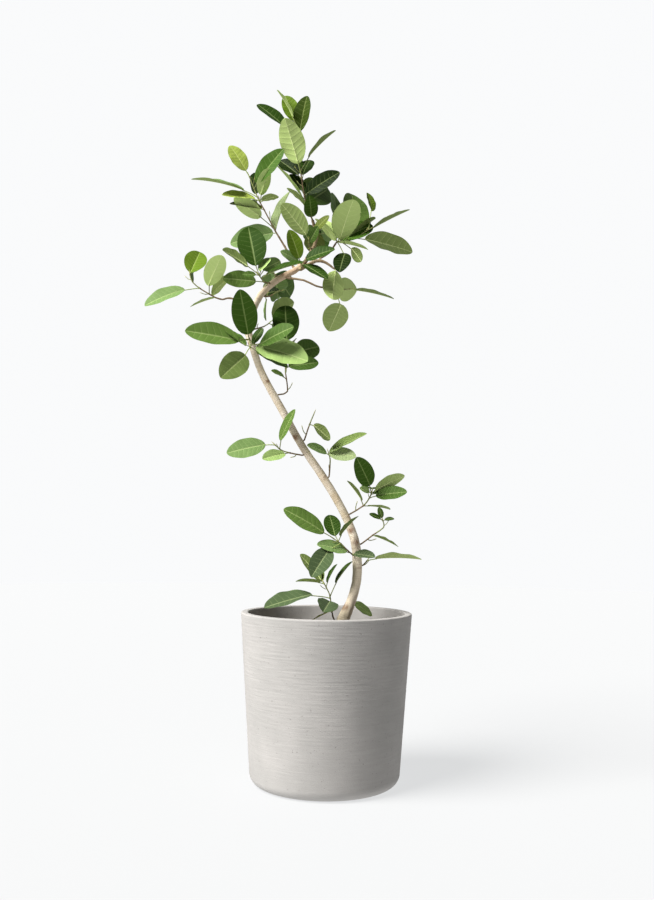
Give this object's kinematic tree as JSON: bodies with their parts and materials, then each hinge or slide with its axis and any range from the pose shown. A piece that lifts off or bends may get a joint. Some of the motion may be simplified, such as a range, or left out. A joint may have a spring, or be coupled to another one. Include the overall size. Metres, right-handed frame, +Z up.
{
  "type": "potted banyan tree",
  "caption": "Young indoor banyan tree in a round tapered planter: a slim winding trunk, thin boughs and an open crown of large oval leaves.",
  "frame": {"origin": "centre of the planter's flat underside, where it stands on the floor", "axes": "+Z up along the planter's axis, and -Y towards the side that the picture shows"},
  "size_m": [0.613, 0.4483, 1.5317],
  "materials": {
    "planter": "matt, with fine turned ridges",
    "potting_mix": "rough and loose",
    "bark": "smooth pale bark with rings",
    "leaves": "leathery, half gloss"
  },
  "bodies": {
    "root": {"planter": "planter", "soil": "potting_mix", "trunk_lower": "bark", "trunk_upper": "bark", "bough_leader": "bark", "bough_right": "bark", "bough_rising": "bark", "bough_left": "bark", "bough_low": "bark", "bough_far_left": "bark", "leaves_crown_top": "leaves", "leaves_crown_centre": "leaves", "leaves_crown_back": "leaves", "leaves_fork": "leaves", "leaves_right_high": "leaves", "leaves_right_hanging": "leaves", "leaves_right_low": "leaves", "leaves_left_high": "leaves", "leaves_middle_left": "leaves", "leaves_middle_back": "leaves", "leaves_far_left": "leaves", "leaves_bend_left": "leaves", "leaves_bend_right": "leaves", "leaves_under_trunk": "leaves", "leaves_trunk_side": "leaves", "leaves_mid_left": "leaves", "leaves_mid_right": "leaves", "leaves_mid_low": "leaves", "leaves_low_right": "leaves", "leaves_low_outer": "leaves", "leaves_low_long": "leaves", "leaves_low_left": "leaves", "leaves_foot_shoot": "leaves", "leaves_foot_right": "leaves"}
  },
  "joints": []
}
